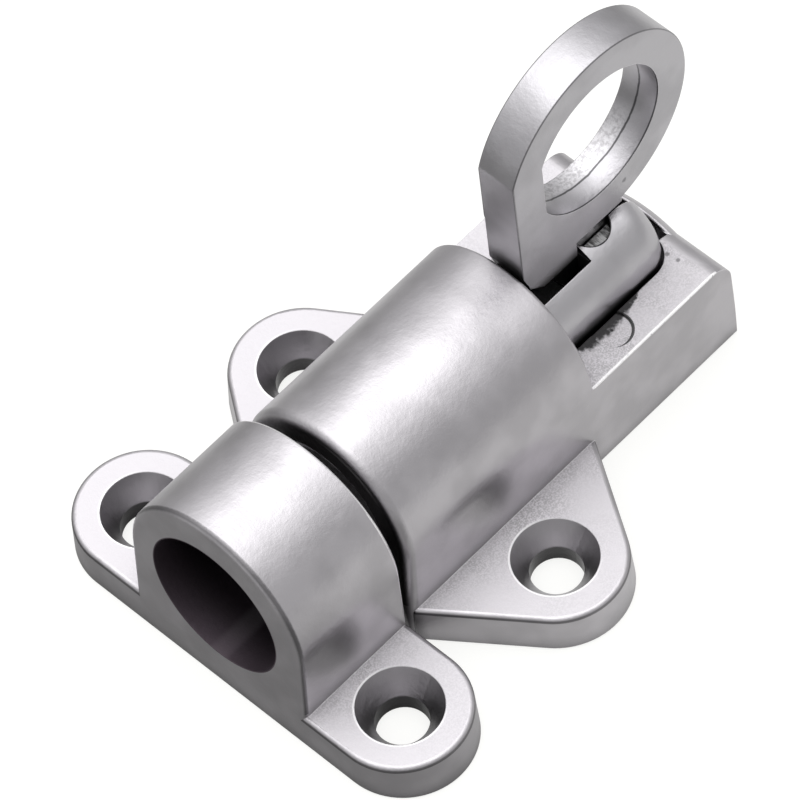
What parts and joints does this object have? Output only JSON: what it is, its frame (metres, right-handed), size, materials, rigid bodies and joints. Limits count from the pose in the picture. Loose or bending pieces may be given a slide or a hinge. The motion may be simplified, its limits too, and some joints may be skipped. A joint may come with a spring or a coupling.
{
  "type": "spring door latch",
  "caption": "Spring door latch with a round bolt in a D-shaped barrel, a folding pull ring behind it and a matching keeper, each on countersunk screw ears.",
  "frame": {"origin": "middle of the latch body's two screw holes, on the mounting plane", "axes": "+X along the bolt from the keeper towards the pull ring, +Y across the body through its two screw holes, +Z out of the mounting plane"},
  "size_m": [0.0703, 0.0518, 0.0488],
  "materials": {
    "cast_alloy": "satin cast",
    "bolt_alloy": "satin cast",
    "ring_alloy": "satin cast",
    "pin_steel": "dull",
    "spring_steel": "bright drawn"
  },
  "bodies": {
    "housing": {"latch_body": "cast_alloy", "keeper": "cast_alloy"},
    "bolt": {"bolt": "bolt_alloy", "pivot_pin": "pin_steel", "spring": "spring_steel"},
    "ring": {"pull_ring": "ring_alloy"}
  },
  "joints": [
    {"name": "bolt_slide", "type": "slide", "parent": "housing", "child": "bolt", "axis": [-1, 0, 0], "range_m": [0, 0.0095], "deforming": ["spring"]},
    {"name": "ring_hinge", "type": "hinge", "parent": "bolt", "child": "ring", "pos_m": [0.0251, 0, 0.0139], "axis": [0, 1, 0], "range_deg": [0, 47]}
  ],
  "couplings": [
    {"joint": "ring_hinge", "follows": "bolt_slide", "rad_per_m": 86.347}
  ]
}
